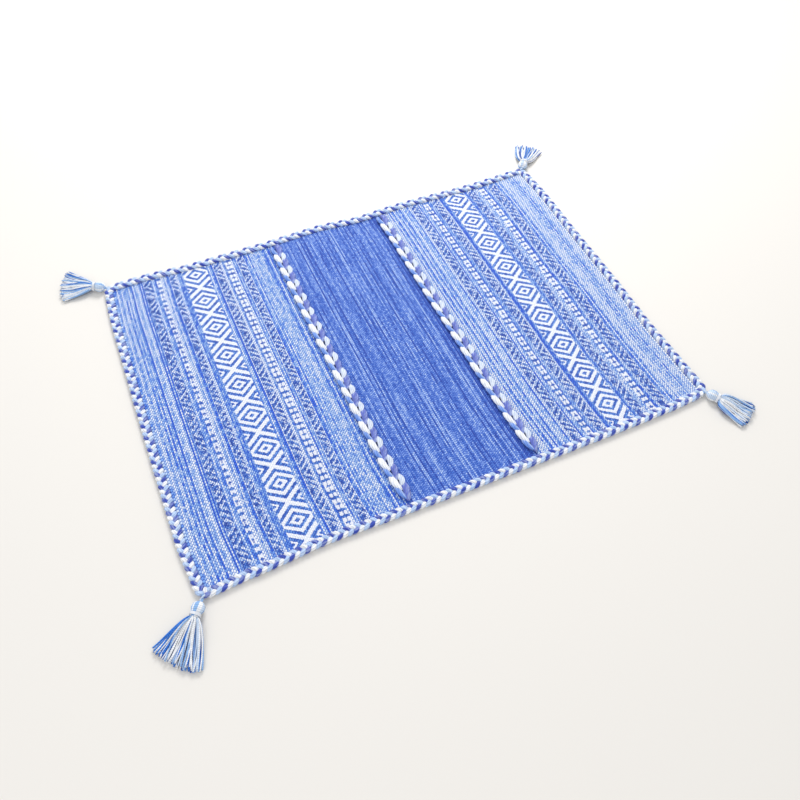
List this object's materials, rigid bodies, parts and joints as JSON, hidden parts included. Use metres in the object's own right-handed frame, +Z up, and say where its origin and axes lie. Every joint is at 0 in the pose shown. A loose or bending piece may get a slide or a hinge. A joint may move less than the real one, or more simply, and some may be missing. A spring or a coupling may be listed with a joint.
{
  "type": "cotton rug",
  "caption": "Flat woven cotton rug with stripes and lozenge bands, a plaited border, two raised heart-shaped braids and a tassel at each corner.",
  "frame": {"origin": "middle of the cloth's flat underside, on the floor", "axes": "+X along the rug's length, across its bands; +Y across the rug's width, along its bands; +Z up"},
  "size_m": [0.9701, 0.7758, 0.017],
  "materials": {
    "woven_cotton": "matt, weft-faced flatweave",
    "plaited_cotton": "matt, soft plaited yarn",
    "braided_cotton": "matt, thick soft roving",
    "tassel_yarn": "matt twisted yarn",
    "tie_thread": "matt twisted thread"
  },
  "bodies": {
    "root": {"rug_cloth": "woven_cotton", "border_plait_near": "plaited_cotton", "border_plait_right": "plaited_cotton", "border_plait_far": "plaited_cotton", "border_plait_left": "plaited_cotton", "heart_braid_left": "braided_cotton", "heart_braid_right": "braided_cotton", "tassel_near_left": "tassel_yarn", "tassel_near_right": "tassel_yarn", "tassel_far_left": "tassel_yarn", "tassel_far_right": "tassel_yarn", "tie_near_left": "tie_thread", "tie_near_right": "tie_thread", "tie_far_left": "tie_thread", "tie_far_right": "tie_thread"}
  },
  "joints": []
}
